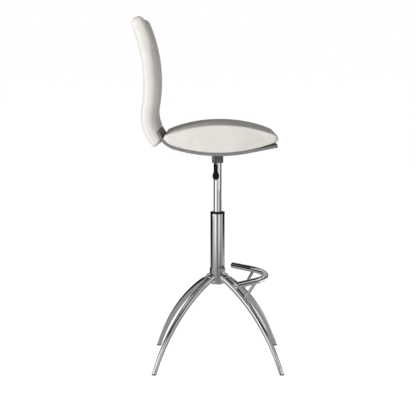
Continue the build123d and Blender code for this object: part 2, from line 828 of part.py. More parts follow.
bar_line = bar_path()
cap_planes = [
    Plane(origin=bar_line @ 0, z_dir=-(bar_line % 0)),
    Plane(origin=bar_line @ 1, z_dir=bar_line % 1),
]
with BuildPart() as footrest_end_caps:
    for plane in cap_planes:
        with BuildSketch(plane):
            Circle(bar_d / 2 - bar_wall - fixed_gap)
        extrude(amount=-bar_cap_stem)
        with BuildSketch(plane):
            Circle(bar_d / 2)
        extrude(amount=bar_cap_h)
        cap_face = footrest_end_caps.faces().sort_by(Axis(plane.origin, plane.z_dir))[-1]
        fillet(cap_face.edges(), bar_cap_round)
save(footrest_end_caps, "footrest_end_caps")

bar_splay = atan2(bar_vertex_x - bar_end_x, bar_end_y)
bend_centre_x = bar_vertex_x - bar_bend / cos(bar_splay)
strut_top_x = bend_centre_x + sqrt(bar_bend**2 - strut_top_y**2)
for side, across in (("left", 1), ("right", -1)):
    turn = leg_turns[f"front_{side}"]
    strut_foot = leg_point(turn, strut_reach)
    strut_run = Vector(strut_top_x, across * strut_top_y, bar_z) - strut_foot
    with BuildPart() as strut:
        with BuildSketch(Plane(origin=strut_foot, z_dir=strut_run)):
            Circle(strut_d / 2)
        extrude(amount=strut_run.length)
        add(leg_skins[turn], mode=Mode.SUBTRACT)
        add(bar_skin, mode=Mode.SUBTRACT)
    save(strut, f"footrest_strut_{side}")
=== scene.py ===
"""Looks of the swivel stool: upholstery, finishes, studio and camera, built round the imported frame.

Metres, in the frame's own axes: +Z is up, +X is where the sitter faces, the camera looks along +Y.
"""
from __future__ import annotations

import json
import logging
import math
from dataclasses import dataclass, field
from enum import Enum
from typing import Any, Callable, Iterable, Sequence

import bmesh
import bpy
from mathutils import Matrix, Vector
from mathutils.bvhtree import BVHTree
from mathutils.kdtree import KDTree

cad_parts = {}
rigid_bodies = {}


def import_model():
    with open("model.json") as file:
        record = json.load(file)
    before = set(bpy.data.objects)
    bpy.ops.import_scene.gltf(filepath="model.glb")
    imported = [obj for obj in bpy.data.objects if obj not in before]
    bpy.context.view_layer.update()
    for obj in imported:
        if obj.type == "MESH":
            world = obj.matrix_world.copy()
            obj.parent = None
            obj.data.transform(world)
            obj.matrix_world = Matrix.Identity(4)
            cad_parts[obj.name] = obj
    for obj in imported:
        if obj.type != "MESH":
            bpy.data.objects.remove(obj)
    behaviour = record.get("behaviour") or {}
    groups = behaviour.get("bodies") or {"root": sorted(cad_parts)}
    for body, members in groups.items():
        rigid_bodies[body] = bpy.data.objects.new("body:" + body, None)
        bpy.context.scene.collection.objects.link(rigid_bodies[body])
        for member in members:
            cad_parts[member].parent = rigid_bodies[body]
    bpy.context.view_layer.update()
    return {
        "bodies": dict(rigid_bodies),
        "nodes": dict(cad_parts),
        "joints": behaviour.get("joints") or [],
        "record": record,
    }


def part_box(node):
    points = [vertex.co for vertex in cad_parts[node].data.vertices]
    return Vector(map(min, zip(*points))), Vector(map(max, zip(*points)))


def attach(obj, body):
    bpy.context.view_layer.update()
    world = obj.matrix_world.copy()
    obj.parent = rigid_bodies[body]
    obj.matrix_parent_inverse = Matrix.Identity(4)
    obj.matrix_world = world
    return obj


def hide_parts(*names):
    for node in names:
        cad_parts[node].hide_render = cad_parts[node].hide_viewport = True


LOG = logging.getLogger("stool")

Colour = tuple[float, float, float, float]
Point = tuple[float, float, float]
Flat = tuple[float, float]
SEAM_MAP = "seam_distance"
LIP_CENTRE: Flat = (-0.1182, 0.8544)


class Slot(Enum):
    """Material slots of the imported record."""

    CHROME = "chrome"
    BLACK_PLASTIC = "black_plastic"
    STEEL = "steel"
    ALUMINIUM = "aluminium"
    RUBBER = "rubber"
    DARK_METAL = "dark_metal"
    DARK_PAN = "dark_pan"
    BOARD = "board"
    COVER = "cover"


class Body(Enum):
    """Bodies of the frame that carry pieces made here."""

    SEAT = "seat"


class Graph:
    """A node tree, with short ways to add nodes and to join their sockets."""

    def __init__(self, tree: bpy.types.NodeTree) -> None:
        """Keep the tree that the nodes go into."""
        self.tree = tree

    def add(
        self, kind: str, inputs: dict[str, Any] | None = None, **settings: Any
    ) -> bpy.types.Node:
        """Add a node.

        Args:
            kind: the node's identifier.
            inputs: values or source sockets for its inputs, by socket name.
            settings: the node's own properties.

        Returns:
            The new node.
        """
        node = self.tree.nodes.new(kind)
        for name, value in settings.items():
            setattr(node, name, value)
        for name, value in (inputs or {}).items():
            self.feed(node.inputs[name], value)
        return node

    def feed(self, target: bpy.types.NodeSocket, value: Any) -> None:
        """Join a source socket to an input, or set the input's own value.

        Args:
            target: the input.
            value: a source socket, or a plain value.
        """
        if isinstance(value, bpy.types.NodeSocket):
            self.tree.links.new(value, target)
        else:
            target.default_value = value

    def math(self, operation: str, first: Any, second: Any) -> bpy.types.NodeSocket:
        """Add a Math node.

        Args:
            operation: the operation's identifier.
            first: value or socket of the first operand.
            second: value or socket of the second operand.

        Returns:
            The result's socket.
        """
        node = self.add("ShaderNodeMath", operation=operation)
        self.feed(node.inputs[0], first)
        self.feed(node.inputs[1], second)
        return node.outputs[0]

    def spread(
        self, value: Any, low: float, high: float, to_low: float = 0.0, to_high: float = 1.0
    ) -> bpy.types.NodeSocket:
        """Map a value smoothly from one range to another.

        Args:
            value: the socket to map.
            low: start of the source range.
            high: end of the source range.
            to_low: result at the start.
            to_high: result at the end.

        Returns:
            The result's socket.
        """
        ends = {"From Min": low, "From Max": high, "To Min": to_low, "To Max": to_high}
        inputs = {"Value": value, **ends}
        node = self.add("ShaderNodeMapRange", inputs, interpolation_type="SMOOTHSTEP")
        return node.outputs["Result"]

    def blend(self, factor: Any, first: Any, second: Any) -> bpy.types.NodeSocket:
        """Mix two colours.

        Args:
            factor: share of the second colour.
            first: colour or socket at a factor of 0.
            second: colour or socket at a factor of 1.

        Returns:
            The mixed colour's socket.
        """
        node = self.add("ShaderNodeMix", data_type="RGBA")
        self.feed(node.inputs["Factor"], factor)
        for label, colour in (("A", first), ("B", second)):
            self.feed(next(s for s in node.inputs if s.name == label and s.type == "RGBA"), colour)
        return next(s for s in node.outputs if s.type == "RGBA")


def new_group(
    name: str,
    inputs: dict[str, str],
    outputs: dict[str, str],
    tree_type: str = "ShaderNodeTree",
) -> tuple[Graph, bpy.types.Node, bpy.types.Node]:
    """Start a node group.

    Args:
        name: the group's name.
        inputs: socket types by input name.
        outputs: socket types by output name.
        tree_type: the kind of tree.

    Returns:
        The group's graph, its input node and its output node.
    """
    tree = bpy.data.node_groups.new(name, tree_type)
    for label, kind in inputs.items():
        tree.interface.new_socket(label, in_out="INPUT", socket_type=kind)
    for label, kind in outputs.items():
        tree.interface.new_socket(label, in_out="OUTPUT", socket_type=kind)
    graph = Graph(tree)
    return graph, graph.add("NodeGroupInput"), graph.add("NodeGroupOutput")


def grain_group() -> bpy.types.NodeTree:
    """Pebbled grain with a slow drift of tone, for hide, moulded plastic and rubber.

    Returns:
        The group, with inputs Vector, Pebble and Drift and outputs Height and Tone.
    """
    graph, source, sink = new_group(
        "pebbled grain",
        {"Vector": "NodeSocketVector", "Pebble": "NodeSocketFloat", "Drift": "NodeSocketFloat"},
        {"Height": "NodeSocketFloat", "Tone": "NodeSocketFloat"},
    )
    place, pebble = source.outputs["Vector"], source.outputs["Pebble"]
    pebble_edge, wave_scale, wave_height = 0.3, 0.12, 0.8
    light, dark = 0.32, 0.68
    cells = graph.add(
        "ShaderNodeTexVoronoi", {"Vector": place, "Scale": pebble}, feature="DISTANCE_TO_EDGE"
    )
    pebbles = graph.spread(cells.outputs["Distance"], 0.0, pebble_edge)
    coarse = graph.math("MULTIPLY", pebble, wave_scale)
    waves = graph.add("ShaderNodeTexNoise", {"Vector": place, "Scale": coarse})
    drift = graph.add(
        "ShaderNodeTexNoise", {"Vector": place, "Scale": source.outputs["Drift"], "Detail": 4.0}
    )
    rough = graph.math("MULTIPLY", waves.outputs[0], wave_height)
    graph.feed(sink.inputs["Height"], graph.math("ADD", pebbles, rough))
    graph.feed(sink.inputs["Tone"], graph.spread(drift.outputs[0], light, dark))
    return graph.tree


def handling_group() -> bpy.types.NodeTree:
    """Marks of handling on hard finishes: cloudy smudges and fine drawn scratches.

    Returns:
        The group, with inputs Vector and Cloud and outputs Smudge and Scratch.
    """
    graph, source, sink = new_group(
        "handling marks",
        {"Vector": "NodeSocketVector", "Cloud": "NodeSocketFloat"},
        {"Smudge": "NodeSocketFloat", "Scratch": "NodeSocketFloat"},
    )
    place = source.outputs["Vector"]
    smudged, scratched = (0.4, 0.72), (0.62, 0.78)
    draw = (900.0, 900.0, 30.0)
    clouds = graph.add(
        "ShaderNodeTexNoise",
        {"Vector": place, "Scale": source.outputs["Cloud"], "Detail": 5.0, "Roughness": 0.6},
    )
    drawn = graph.add("ShaderNodeMapping", {"Vector": place, "Scale": draw})
    lines = graph.add(
        "ShaderNodeTexNoise", {"Vector": drawn.outputs["Vector"], "Scale": 1.0, "Detail": 2.0}
    )
    graph.feed(sink.inputs["Smudge"], graph.spread(clouds.outputs[0], *smudged))
    graph.feed(sink.inputs["Scratch"], graph.spread(lines.outputs[0], *scratched))
    return graph.tree


@dataclass(frozen=True)
class Effects:
    """Shader groups that the finishes share."""

    grain: bpy.types.NodeTree
    handling: bpy.types.NodeTree


@dataclass(frozen=True)
class Bench:
    """A material in the making: its graph, its shader, its coordinates and the shared effects."""

    graph: Graph
    shader: bpy.types.Node
    place: bpy.types.NodeSocket
    effects: Effects

    def grain(self, pebble: float, drift: float) -> bpy.types.Node:
        """Add the pebbled grain, with pebbles and a drift of tone of these scales."""
        inputs = {"Vector": self.place, "Pebble": pebble, "Drift": drift}
        return self.graph.add("ShaderNodeGroup", inputs, node_tree=self.effects.grain)

    def handling(self, cloud: float) -> bpy.types.Node:
        """Add the marks of handling, with smudges of this scale."""
        inputs = {"Vector": self.place, "Cloud": cloud}
        return self.graph.add("ShaderNodeGroup", inputs, node_tree=self.effects.handling)

    def feed(self, name: str, value: Any) -> None:
        """Join a socket to one of the shader's inputs, or set the input's own value."""
        self.graph.feed(self.shader.inputs[name], value)

    def roughen(self, mask: bpy.types.NodeSocket, gloss: float, dull: float) -> None:
        """Let the roughness go from one value to another with a mask."""
        self.feed("Roughness", self.graph.spread(mask, 0.0, 1.0, gloss, dull))

    def bump(self, height: bpy.types.NodeSocket, strength: float, depth: float) -> None:
        """Give the surface relief, of this strength and depth."""
        inputs = {"Strength": strength, "Distance": depth, "Height": height}
        self.feed("Normal", self.graph.add("ShaderNodeBump", inputs).outputs["Normal"])


@dataclass(frozen=True)
class Finish:
    """A surface finish: what every material of the stool is made from."""

    slot: Slot

    def material(self, effects: Effects) -> bpy.types.Material:
        """Build the finish.

        Args:
            effects: the shared shader groups.

        Returns:
            The finished material.
        """
        material = bpy.data.materials.new(f"{self.slot.value}_finish")
        material.use_nodes = True
        graph = Graph(material.node_tree)
        shader = material.node_tree.nodes["Principled BSDF"]
        place = graph.add("ShaderNodeTexCoord").outputs["Object"]
        self.dress(Bench(graph, shader, place, effects))
        return material

    def dress(self, bench: Bench) -> None:
        """Feed the shader; each kind of finish has its own way."""
        raise NotImplementedError


@dataclass(frozen=True)
class Cover(Finish):
    """Smooth leather-look cover with fine pebbles, a slow drift of tone, dark thread, and painted
    shade darkening its seam grooves.
    """

    pale: Colour = (0.83, 0.805, 0.765, 1.0)
    shaded: Colour = (0.78, 0.75, 0.705, 1.0)
    # Colour of the thread on the stitches, and painted shade laid in the seam grooves of the cover
    thread_and_seam_shade: Colour = (0.36, 0.335, 0.30, 1.0)
    pebble: float = 850.0
    drift: float = 7.0
    gloss: float = 0.46
    dull: float = 0.56
    shine: float = 0.35
    line_width: float = 0.0022
    line_dip: float = 8.0
    relief: float = 0.6
    depth: float = 0.00012

    def dress(self, bench: Bench) -> None:
        """Feed tone, gloss and relief, with a groove along the seams that is painted dark as shade.

        Args:
            bench: the material in the making.
        """
        graph = bench.graph
        grain = bench.grain(self.pebble, self.drift)
        seam = graph.add("ShaderNodeAttribute", attribute_name=SEAM_MAP)
        groove = graph.spread(seam.outputs["Fac"], 0.0, self.line_width, 1.0, 0.0)
        hide = graph.blend(grain.outputs["Tone"], self.pale, self.shaded)
        # Painted shade: the cover's colour darkens towards the thread colour within the groove width
        # of each seam; the stitches carry no seam distance and so take it whole, as thread colour
        bench.feed("Base Color", graph.blend(groove, hide, self.thread_and_seam_shade))
        bench.roughen(grain.outputs["Tone"], self.gloss, self.dull)
        bench.feed("Specular IOR Level", self.shine)
        dip = graph.math("MULTIPLY", groove, self.line_dip)
        bench.bump(graph.math("SUBTRACT", grain.outputs["Height"], dip), self.relief, self.depth)


@dataclass(frozen=True)
class Plated(Finish):
    """Metal with a mirror or satin skin, clouded here and there by handling."""

    tint: Colour = (0.86, 0.865, 0.875, 1.0)
    clean: float = 0.04
    clouded: float = 0.11
    scratched: float = 0.06
    cloud: float = 9.0

    def dress(self, bench: Bench) -> None:
        """Feed a roughness that drifts with the smudges, and hairline scratches.

        Args:
            bench: the material in the making.
        """
        graph = bench.graph
        marks = bench.handling(self.cloud)
        bench.feed("Base Color", self.tint)
        bench.feed("Metallic", 1.0)
        smudges = graph.spread(marks.outputs["Smudge"], 0.0, 1.0, self.clean, self.clouded)
        scratches = graph.math("MULTIPLY", marks.outputs["Scratch"], self.scratched)
        bench.feed("Roughness", graph.math("ADD", smudges, scratches))


@dataclass(frozen=True)
class Moulded(Finish):
    """Moulded plastic or rubber with a fine pebbled skin."""

    dark: Colour = (0.018, 0.018, 0.02, 1.0)
    light: Colour = (0.032, 0.032, 0.034, 1.0)
    pebble: float = 1400.0
    drift: float = 18.0
    gloss: float = 0.42
    dulling: float = 0.12
    shine: float = 0.2
    relief: float = 0.4
    depth: float = 0.00005

    def dress(self, bench: Bench) -> None:
        """Feed a faint drift of tone and the pebbles' relief.

        Args:
            bench: the material in the making.
        """
        graph = bench.graph
        grain = bench.grain(self.pebble, self.drift)
        tone = grain.outputs["Tone"]
        bench.feed("Base Color", graph.blend(tone, self.dark, self.light))
        bench.roughen(tone, self.gloss, self.gloss + self.dulling)
        bench.feed("Specular IOR Level", self.shine)
        bench.bump(grain.outputs["Height"], self.relief, self.depth)


@dataclass(frozen=True)
class Painted(Finish):
    """Satin paint or lacquer, a little lighter where it is rubbed."""

    coat: Colour = (0.085, 0.085, 0.088, 1.0)
    rubbed: Colour = (0.13, 0.13, 0.132, 1.0)
    gloss: float = 0.36
    dulling: float = 0.16
    cloud: float = 14.0
    peel: float = 260.0
    relief: float = 0.12
    depth: float = 0.0001

    def dress(self, bench: Bench) -> None:
        """Feed the rubbed tone, its duller gloss and a faint orange peel.

        Args:
            bench: the material in the making.
        """
        graph = bench.graph
        smudge = bench.handling(self.cloud).outputs["Smudge"]
        grain = bench.grain(self.peel, self.cloud)
        bench.feed("Base Color", graph.blend(smudge, self.coat, self.rubbed))
        bench.roughen(smudge, self.gloss, self.gloss + self.dulling)
        bench.bump(grain.outputs["Height"], self.relief, self.depth)


@dataclass(frozen=True)
class Plywood(Finish):
    """Bare plywood, with grain along the sitter's axis."""

    early: Colour = (0.58, 0.42, 0.27, 1.0)
    late: Colour = (0.42, 0.28, 0.16, 1.0)
    streak: Point = (4.0, 90.0, 90.0)
    streak_range: Flat = (0.35, 0.65)
    gloss: float = 0.55
    dull: float = 0.7

    def dress(self, bench: Bench) -> None:
        """Feed long streaks between the light and the dark of the wood.

        Args:
            bench: the material in the making.
        """
        graph = bench.graph
        along = graph.add("ShaderNodeMapping", {"Vector": bench.place, "Scale": self.streak})
        streaks = graph.add(
            "ShaderNodeTexNoise", {"Vector": along.outputs["Vector"], "Scale": 1.0, "Detail": 6.0}
        )
        tone = graph.spread(streaks.outputs[0], *self.streak_range)
        bench.feed("Base Color", graph.blend(tone, self.early, self.late))
        bench.roughen(tone, self.gloss, self.dull)


FINISHES: tuple[Finish, ...] = (
    Plated(Slot.CHROME),
    Plated(Slot.STEEL, tint=(0.6, 0.6, 0.61, 1.0), clean=0.28, clouded=0.4, cloud=25.0),
    Plated(Slot.ALUMINIUM, tint=(0.72, 0.72, 0.73, 1.0), clean=0.24, clouded=0.36, cloud=25.0),
    Moulded(
        Slot.BLACK_PLASTIC,
        dark=(0.006, 0.006, 0.007, 1.0),
        light=(0.012, 0.012, 0.013, 1.0),
        gloss=0.5,
    ),
    Moulded(Slot.RUBBER, dark=(0.01, 0.01, 0.01, 1.0), light=(0.02, 0.02, 0.02, 1.0), gloss=0.75),
    Painted(Slot.DARK_METAL, coat=(0.12, 0.12, 0.123, 1.0), rubbed=(0.16, 0.16, 0.162, 1.0)),
    Painted(
        Slot.DARK_PAN,
        coat=(0.22, 0.22, 0.217, 1.0),
        rubbed=(0.255, 0.254, 0.25, 1.0),
        gloss=0.42,
        cloud=8.0,
    ),
    Plywood(Slot.BOARD),
    Cover(Slot.COVER),
)


def grey(level: float) -> Colour:
    """A neutral colour."""
    return (level, level, level, 1.0)


def placed(name: str, data: Any) -> bpy.types.Object:
    """Make an object and link it to the scene.

    Args:
        name: the object's name.
        data: its mesh, curve, lamp or camera.

    Returns:
        The new object.
    """
    piece = bpy.data.objects.new(name, data)
    bpy.context.scene.collection.objects.link(piece)
    return piece


def bare_material(name: str) -> tuple[bpy.types.Material, Graph, bpy.types.NodeSocket]:
    """Start a material without its usual shader.

    Args:
        name: the material's name.

    Returns:
        The material, its graph and its surface socket.
    """
    material = bpy.data.materials.new(name)
    material.use_nodes = True
    nodes = material.node_tree.nodes
    nodes.remove(nodes["Principled BSDF"])
    return material, Graph(material.node_tree), nodes["Material Output"].inputs["Surface"]


def build_object(name: str, loops: Sequence[Sequence[Point]]) -> bpy.types.Object:
    """Skin a row of closed loops into one closed mesh, with a fan over its first and last loop.

    Args:
        name: the new object's name.
        loops: loops of equal length, in order from one end of the shape to the other.

    Returns:
        The new object, linked to the scene.
    """
    shape = bmesh.new()
    rings = [[shape.verts.new(point) for point in loop] for loop in loops]
    for lower, upper in zip(rings, rings[1:]):
        for step in range(len(lower)):
            onward = (step + 1) % len(lower)
            shape.faces.new((lower[step], lower[onward], upper[onward], upper[step]))
    for ring in (rings[0], rings[-1]):
        hub = shape.verts.new(sum((vert.co for vert in ring), Vector()) / len(ring))
        for step in range(len(ring)):
            shape.faces.new((ring[step], ring[(step + 1) % len(ring)], hub))
    bmesh.ops.recalc_face_normals(shape, faces=shape.faces)
    mesh = bpy.data.meshes.new(name)
    shape.to_mesh(mesh)
    shape.free()
    return placed(name, mesh)


def finished_mesh(piece: bpy.types.Object) -> bpy.types.Mesh:
    """Turn an object with live modifiers into a plain mesh.

    Args:
        piece: the object to evaluate.

    Returns:
        A new mesh that holds the result.
    """
    graph = bpy.context.evaluated_depsgraph_get()
    return bpy.data.meshes.new_from_object(piece.evaluated_get(graph))


def rounded_rectangle(
    half_x: float, half_y: float, corner: float, per_corner: int, per_side: int
) -> list[Flat]:
    """Outline of a rectangle with round corners, anticlockwise from the +Y end of its +X side.

    Args:
        half_x: half its length.
        half_y: half its width.
        corner: radius of its corners.
        per_corner: steps round each corner.
        per_side: steps along each side.

    Returns:
        The outline's points, without the first repeated at the end.
    """
    signs = ((1, 1), (-1, 1), (-1, -1), (1, -1))

    def rim(quarter: int, angle: float) -> Flat:
        """Find a point on one corner's arc.

        Args:
            quarter: the corner's number, anticlockwise.
            angle: the point's bearing from the arc's centre.

        Returns:
            The point.
        """
        sign_x, sign_y = signs[quarter % len(signs)]
        return (
            sign_x * (half_x - corner) + corner * math.cos(angle),
            sign_y * (half_y - corner) + corner * math.sin(angle),
        )

    outline: list[Flat] = []
    for quarter in range(len(signs)):
        start = 90 * quarter
        for step in range(per_corner):
            outline.append(rim(quarter, math.radians(start + 90 * step / per_corner)))
        end = math.radians(start + 90)
        (x, y), (next_x, next_y) = rim(quarter, end), rim(quarter + 1, end)
        for step in range(per_side):
            share = step / per_side
            outline.append((x + (next_x - x) * share, y + (next_y - y) * share))
    return outline


def about(point: Vector, centre: Flat) -> tuple[Vector, float]:
    """Find where a point lies round a centre, in the side view.

    Args:
        point: the point.
        centre: the centre, as (x, z).

    Returns:
        Its offset, and its lean in degrees: 0 below the centre and 90 behind it.
    """
    offset = Vector((point.x - centre[0], point.z - centre[1]))
    return offset, math.degrees(math.atan2(-offset.x, -offset.y))


def brought_to(radius: float, point: Vector, centre: Flat) -> Vector:
    """Move a point along its offset from a centre, in the side view.

    Args:
        radius: its new distance from the centre.
        point: the point.
        centre: the centre, as (x, z).

    Returns:
        The moved point.
    """
    offset, _ = about(point, centre)
    offset *= radius / offset.length
    return Vector((centre[0] + offset.x, point.y, centre[1] + offset.y))


@dataclass
class Upholstery:
    """What both padded pieces share: foam in a cover that swells as cloth, held at its seams."""

    name: str
    node: str
    voxel: float = 0.0
    pressure: float = 4.0
    stiffness: float = 30.0
    frames: int = 20
    swell: float = 0.006
    seam_hold: float = 0.035
    groove: float = 0.0011
    groove_width: float = 0.004
    seam_step: float = 0.001
    fill: float = 0.75

    def form(self) -> list[list[Point]]:
        """Loops of the foam before it is covered; each cushion has its own."""
        raise NotImplementedError

    def seams(self) -> list[list[Point]]:
        """Closed lines along which the cover is sewn."""
        raise NotImplementedError

    def stitch_lines(self) -> list[list[Point]]:
        """Closed lines that the stitches follow."""
        raise NotImplementedError

    def seated(self, point: Vector) -> Vector:
        """Move a point of the cover off what the cushion rests on."""
        raise NotImplementedError

    def build(self, material: bpy.types.Material) -> bpy.types.Object:
        """Make the cushion and put it in the place of its plain solid.

        Args:
            material: finish of its cover.

        Returns:
            The finished cushion.
        """
        cushion = build_object(self.name, self.form())
        if self.voxel:
            self.remesh(cushion)
        still = [vert.co.copy() for vert in cushion.data.vertices]
        blown = self.blow(cushion)
        near = self.seam_finder()
        for vert, rest, moved in zip(cushion.data.vertices, still, blown):
            distance = near.find(rest)[2]
            share = min(distance / self.seam_hold, 1.0)
            push = moved - rest
            if push.length > self.swell:
                push *= self.swell / push.length
            vert.co = self.seated(rest + push * share * share * (3.0 - 2.0 * share))
        self.refine(cushion)
        self.sew(cushion, near)
        cushion.data.materials.append(material)
        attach(cushion, Body.SEAT.value)
        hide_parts(self.node)
        return cushion

    def remesh(self, cushion: bpy.types.Object) -> None:
        """Give the foam an even mesh.

        Args:
            cushion: the foam.
        """
        cushion.data.remesh_voxel_size = self.voxel
        bpy.context.view_layer.objects.active = cushion
        cushion.select_set(True)
        bpy.ops.object.voxel_remesh()
        cushion.select_set(False)

    def blow(self, cushion: bpy.types.Object) -> list[Vector]:
        """Let a cloth skin swell over the foam.

        Args:
            cushion: the foam.

        Returns:
            Where each of its points has moved to.
        """
        cloth = cushion.modifiers.new("swell", "CLOTH")
        cloth.settings.use_pressure = True
        cloth.settings.uniform_pressure_force = self.pressure
        cloth.settings.effector_weights.gravity = 0.0
        cloth.settings.tension_stiffness = self.stiffness
        cloth.settings.compression_stiffness = self.stiffness
        cloth.point_cache.frame_start = 1
        cloth.point_cache.frame_end = self.frames
        for frame in range(1, self.frames + 1):
            bpy.context.scene.frame_set(frame)
        mesh = finished_mesh(cushion)
        points = [vert.co.copy() for vert in mesh.vertices]
        bpy.data.meshes.remove(mesh)
        cushion.modifiers.remove(cloth)
        bpy.context.scene.frame_set(1)
        return points

    def refine(self, cushion: bpy.types.Object) -> None:
        """Subdivide the cover once and shade it smooth.

        Args:
            cushion: the cushion in its final form.
        """
        softer = cushion.modifiers.new("softer", "SUBSURF")
        softer.levels = 1
        softer.render_levels = 1
        mesh = finished_mesh(cushion)
        cushion.modifiers.clear()
        old = cushion.data
        cushion.data = mesh
        bpy.data.meshes.remove(old)
        mesh.name = self.name
        mesh.shade_smooth()

    def seam_finder(self) -> KDTree:
        """Set points closely along every seam.

        Returns:
            A search tree over the points.
        """
        points = [point for seam in self.seams() for point in close_points(seam, self.seam_step)]
        tree = KDTree(len(points))
        for index, point in enumerate(points):
            tree.insert(point, index)
        tree.balance()
        return tree

    def sew(self, cushion: bpy.types.Object, near: KDTree) -> None:
        """Draw the cover in along its seams, and note each point's distance from them.

        Args:
            cushion: the refined cushion.
            near: search tree over the seams.
        """
        mesh = cushion.data
        normals = [vert.normal.copy() for vert in mesh.vertices]
        for vert, normal in zip(mesh.vertices, normals):
            distance = near.find(vert.co)[2]
            if distance < self.groove_width:
                vert.co -= normal * self.groove * (1.0 - distance / self.groove_width)
        attribute = mesh.attributes.new(SEAM_MAP, "FLOAT", "POINT")
        for entry, vert in zip(attribute.data, mesh.vertices):
            entry.value = near.find(vert.co)[2]
        mesh.update()


def close_points(loop: Sequence[Point], step: float) -> Iterable[Vector]:
    """Points set closely along a closed loop.

    Args:
        loop: the loop's corners.
        step: largest distance between two points.

    Returns:
        The points, in order.
    """
    corners = [Vector(point) for point in loop]
    for start, end in zip(corners, corners[1:] + corners[:1]):
        count = max(1, math.ceil((end - start).length / step))
        for index in range(count):
            yield start.lerp(end, index / count)


@dataclass
class SeatCushion(Upholstery):
    """Lens-shaped seat cushion: a crowned top and a bowed underside, joined by a boxing strip."""

    name: str = "seat_cushion_cover"
    node: str = "seat_cushion"
    swell: float = 0.0028
    crown: float = 0.515
    dish: float = 0.5197
    dish_centre: Flat = (0.003, 1.2716)
    lip: float = 0.0852
    lip_centre: Flat = LIP_CENTRE
    lip_lean: float = 16.2
    corner: float = 0.018
    tip: float = 0.0083
    side_inset: float = 0.0005
    top_inset: float = 0.0005
    edge: float = 0.0016
    stitch_inset: float = 0.007
    corner_steps: int = 7
    side_steps: int = 40
    panel_rings: int = 26
    panel_crowding: float = 1.3
    wall_rings: int = 14
    low: Vector = field(init=False)
    high: Vector = field(init=False)

    def __post_init__(self) -> None:
        """Take the cushion's box from the frame."""
        self.low, self.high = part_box(self.node)

    def middle(self) -> float:
        """Middle of the cushion along the sitter's axis."""
        return (self.low.x + self.high.x) / 2

    def drop(self, x: float) -> float:
        """How far the rounded tips lie inside the two arcs.

        Args:
            x: place along the sitter's axis.

        Returns:
            The distance, which is 0 away from the tips.
        """
        left = min(x - self.low.x, self.high.x - x)
        if left >= self.tip:
            return 0.0
        return self.tip - math.sqrt(max(self.tip**2 - (self.tip - left) ** 2, 0.0))

    def top(self, x: float) -> float:
        """Height of the crowned top."""
        arc = math.sqrt(self.crown**2 - (x - self.middle()) ** 2)
        return self.high.z - self.top_inset - self.crown + arc - self.drop(x)

    def bottom(self, x: float) -> float:
        """Height of the underside on the pan."""
        arc = math.sqrt(self.dish**2 - (x - self.dish_centre[0]) ** 2)
        return self.dish_centre[1] - arc + self.drop(x)

    def plan(self, shrink: float) -> list[Flat]:
        """Outline from above.

        Args:
            shrink: how far it is drawn in all round.

        Returns:
            The outline's points.
        """
        half_x = (self.high.x - self.low.x) / 2 - self.side_inset - shrink
        half_y = (self.high.y - self.low.y) / 2 - self.side_inset - shrink
        corner = self.corner - shrink
        outline = rounded_rectangle(half_x, half_y, corner, self.corner_steps, self.side_steps)
        return [(self.middle() + x, y) for x, y in outline]

    def panel(self, height: Callable[[float], float]) -> list[list[Point]]:
        """Rings of the top or the underside, closer together towards its seam.

        Args:
            height: height of the panel along the sitter's axis.

        Returns:
            The rings, from the panel's middle to just inside its seam.
        """
        rim = self.plan(self.edge)
        middle = self.middle()
        rings = []
        for step in range(1, self.panel_rings + 1):
            share = 1.0 - (1.0 - step / self.panel_rings) ** self.panel_crowding
            scaled = [(middle + (x - middle) * share, y * share) for x, y in rim]
            rings.append([(x, y, height(x)) for x, y in scaled])
        return rings

    def form(self) -> list[list[Point]]:
        """Go over the top, down the boxing strip and under the bottom.

        Returns:
            The rings, from the middle of the top to the middle of the underside.
        """
        outline = self.plan(0.0)
        wall = []
        for step in range(self.wall_rings + 1):
            share = step / self.wall_rings
            ring = []
            for x, y in outline:
                upper = self.top(x) - self.edge
                lower = self.bottom(x) + self.edge
                upper, lower = max(upper, lower), min(upper, lower)
                ring.append((x, y, upper + (lower - upper) * share))
            wall.append(ring)
        return self.panel(self.top) + wall + list(reversed(self.panel(self.bottom)))

    def seams(self) -> list[list[Point]]:
        """Follow the boxing strip's two edges.

        Returns:
            The upper and the lower seam.
        """
        outline = self.plan(self.edge / 2)
        return [
            [(x, y, self.top(x) - self.edge / 2) for x, y in outline],
            [(x, y, self.bottom(x) + self.edge / 2) for x, y in outline],
        ]

    def stitch_lines(self) -> list[list[Point]]:
        """A line on the top just inside its seam."""
        return [[(x, y, self.top(x)) for x, y in self.plan(self.stitch_inset)]]

    def seated(self, point: Vector) -> Vector:
        """Lift a point off the pan and bring it in front of the pan's lip.

        Args:
            point: a point of the cover.

        Returns:
            Where the point may lie.
        """
        for centre, radius, from_lean in (
            (self.dish_centre, self.dish, -90.0),
            (self.lip_centre, self.lip, self.lip_lean),
        ):
            offset, lean = about(point, centre)
            if offset.y < 0 and lean > from_lean and offset.length > radius:
                point = brought_to(radius, point, centre)
        return point


